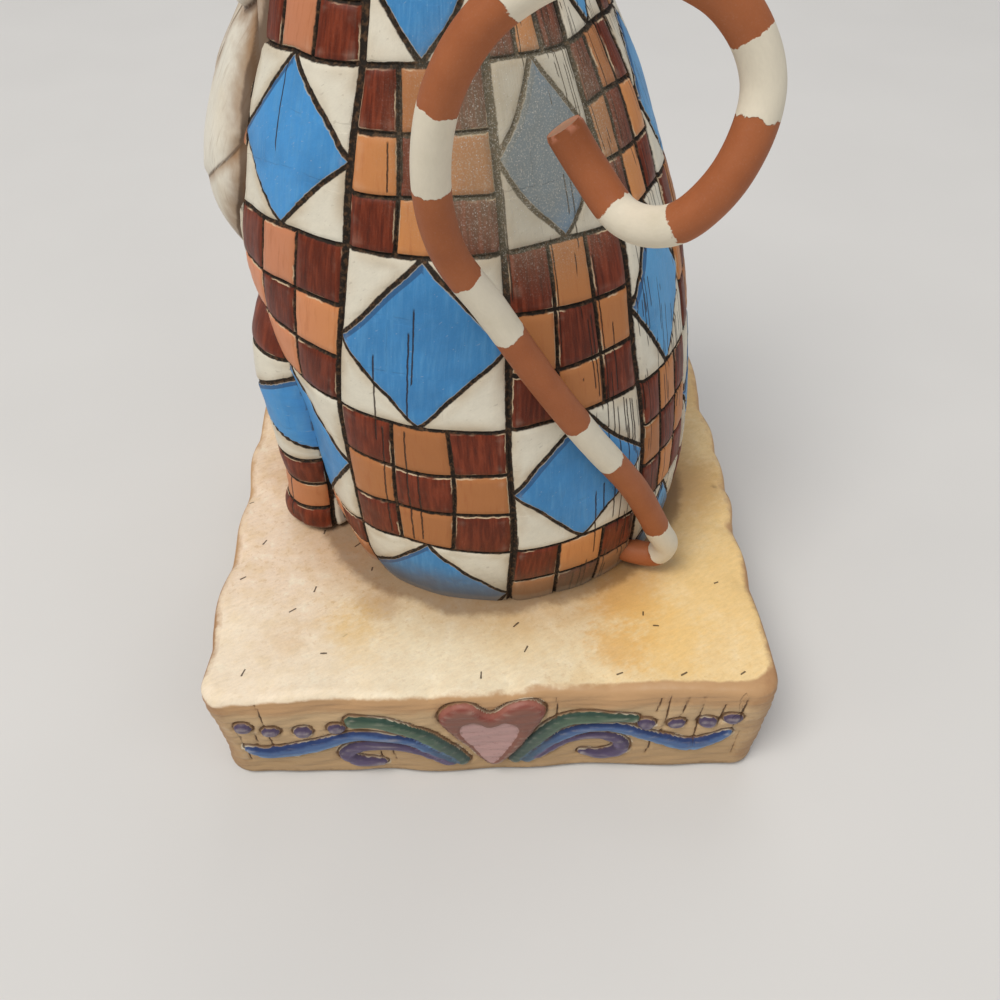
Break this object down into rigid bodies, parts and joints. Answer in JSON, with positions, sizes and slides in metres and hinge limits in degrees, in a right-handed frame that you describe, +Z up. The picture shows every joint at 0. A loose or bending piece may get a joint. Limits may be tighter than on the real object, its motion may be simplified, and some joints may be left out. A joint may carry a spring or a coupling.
{
  "type": "cat figurine",
  "caption": "Seated cat of painted cast resin with a patchwork coat and a bent-rod tail, on a square plinth with a painted heart and scrolls.",
  "frame": {"origin": "middle of the plinth's flat underside", "axes": "+Z up; -Y is the plinth's face with the heart, which faces the picture's viewer; +X is to the viewer's right, and the cat looks towards -X and a little towards +Y"},
  "size_m": [0.0961, 0.0962, 0.1777],
  "materials": {
    "plinth_resin": "cast resin painted cream with a thin ochre wash, satin to matt, carved heart and scrolls in blue, green, mauve and red",
    "cat_resin": "cast resin carved as a patchwork of brown and tan squares and blue diamonds on cream, dark wash in the grooves, satin",
    "tail_paint": "bent round rod painted matt terracotta with off-white bands"
  },
  "bodies": {
    "root": {"plinth": "plinth_resin", "cat": "cat_resin", "tail": "tail_paint"}
  },
  "joints": []
}
